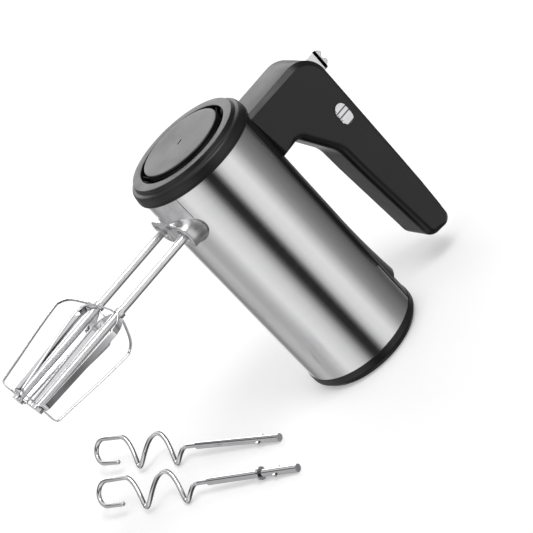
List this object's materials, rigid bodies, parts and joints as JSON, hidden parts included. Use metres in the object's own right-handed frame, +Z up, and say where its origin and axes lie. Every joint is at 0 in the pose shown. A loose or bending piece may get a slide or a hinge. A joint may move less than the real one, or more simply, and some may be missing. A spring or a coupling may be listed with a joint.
{
  "type": "hand mixer",
  "caption": "Handheld kitchen mixer: steel drum body, open-ended pistol handle with slider and eject button, wire-strip beaters, loose dough hooks.",
  "frame": {"origin": "centre of the heel's flat bottom face", "axes": "+Z up the drum axis to the vented front cap, -X along the beaters, +X towards the handle"},
  "size_m": [0.3204, 0.2422, 0.208],
  "materials": {
    "brushed_steel": "fine brushing around the drum",
    "black_plastic": "fine matt texture",
    "rubber": "matt",
    "chrome": "polished",
    "housing_plastic": "moulded",
    "bronze": "sintered",
    "aluminium": "die cast",
    "steel": "machined",
    "copper": "enamelled copper",
    "carbon": "pressed carbon",
    "board": "solder mask"
  },
  "bodies": {
    "housing": {"drum_sleeve": "brushed_steel", "front_cap_ring": "black_plastic", "front_vent_disc": "black_plastic", "rear_cap": "black_plastic", "top_strip": "black_plastic", "socket_collar": "chrome", "handle_body": "black_plastic", "handle_cover": "black_plastic", "cord_grommet": "rubber", "gearbox_housing": "housing_plastic", "gearbox_cover": "housing_plastic", "spindle_bushes": "bronze", "motor_front_bracket": "aluminium", "motor_rear_bracket": "aluminium", "shaft_bushes": "bronze", "stator_core": "steel", "field_coils": "copper", "brush_holders": "bronze", "carbon_brushes": "carbon", "brush_springs": "steel", "circuit_board": "board", "speed_switch": "black_plastic", "rear_cap_screws": "steel", "gearbox_screws": "steel", "bracket_screws": "steel"},
    "rotor": {"motor_shaft": "steel", "armature_core": "steel", "armature_windings": "copper", "commutator": "copper", "cooling_fan": "housing_plastic"},
    "spindle_l": {"spindle_left": "steel", "worm_wheel_left": "housing_plastic"},
    "spindle_r": {"spindle_right": "steel", "worm_wheel_right": "housing_plastic"},
    "pin_l": {"ejector_pin_left": "steel"},
    "pin_r": {"ejector_pin_right": "steel"},
    "beater_l": {"beater_shaft_left": "chrome", "beater_cage_left": "chrome", "beater_collar_left": "chrome", "beater_rivet_left": "chrome"},
    "beater_r": {"beater_shaft_right": "chrome", "beater_cage_right": "chrome", "beater_collar_right": "chrome", "beater_rivet_right": "chrome"},
    "ejector": {"eject_button": "chrome", "eject_rod": "steel", "eject_yoke": "housing_plastic", "eject_spring": "steel"},
    "speed_slider": {"speed_slider": "chrome"},
    "hook_l": {"hook_tube_left": "chrome", "hook_wire_left": "chrome"},
    "hook_r": {"hook_tube_right": "chrome", "hook_wire_right": "chrome", "hook_washer": "chrome"}
  },
  "joints": [
    {"name": "motor_spin", "type": "hinge", "parent": "housing", "child": "rotor", "pos_m": [0, 0, 0.1673], "axis": [0, 0, 1], "continuous": true},
    {"name": "spindle_spin_left", "type": "hinge", "parent": "housing", "child": "spindle_l", "pos_m": [0, 0.01775, 0.1673], "axis": [1, 0, 0], "continuous": true},
    {"name": "spindle_spin_right", "type": "hinge", "parent": "housing", "child": "spindle_r", "pos_m": [0, -0.01775, 0.1673], "axis": [1, 0, 0], "continuous": true},
    {"name": "eject_press", "type": "slide", "parent": "housing", "child": "ejector", "axis": [-1, 0, 0], "range_m": [0, 0.007], "stiffness_N_per_m": 500, "springref_m": -0.008, "deforming": ["eject_spring"]},
    {"name": "pin_slide_left", "type": "slide", "parent": "spindle_l", "child": "pin_l", "axis": [-1, 0, 0], "range_m": [0, 0.007]},
    {"name": "pin_slide_right", "type": "slide", "parent": "spindle_r", "child": "pin_r", "axis": [-1, 0, 0], "range_m": [0, 0.007]},
    {"name": "beater_pull_left", "type": "slide", "parent": "pin_l", "child": "beater_l", "axis": [-1, 0, 0], "range_m": [0, 0.056]},
    {"name": "beater_pull_right", "type": "slide", "parent": "pin_r", "child": "beater_r", "axis": [-1, 0, 0], "range_m": [0, 0.056]},
    {"name": "speed_slide", "type": "slide", "parent": "housing", "child": "speed_slider", "axis": [0, 0, -1], "range_m": [0, 0.0044]},
    {"name": "hook_lift_left", "type": "slide", "parent": "housing", "child": "hook_l", "axis": [0, 0, 1], "range_m": [0, 0.08]},
    {"name": "hook_lift_right", "type": "slide", "parent": "housing", "child": "hook_r", "axis": [0, 0, 1], "range_m": [0, 0.08]}
  ],
  "couplings": [
    {"joint": "spindle_spin_left", "follows": "motor_spin", "ratio": 0.033333},
    {"joint": "spindle_spin_right", "follows": "motor_spin", "ratio": -0.033333},
    {"joint": "pin_slide_left", "follows": "eject_press", "ratio": 1},
    {"joint": "pin_slide_right", "follows": "eject_press", "ratio": 1}
  ]
}
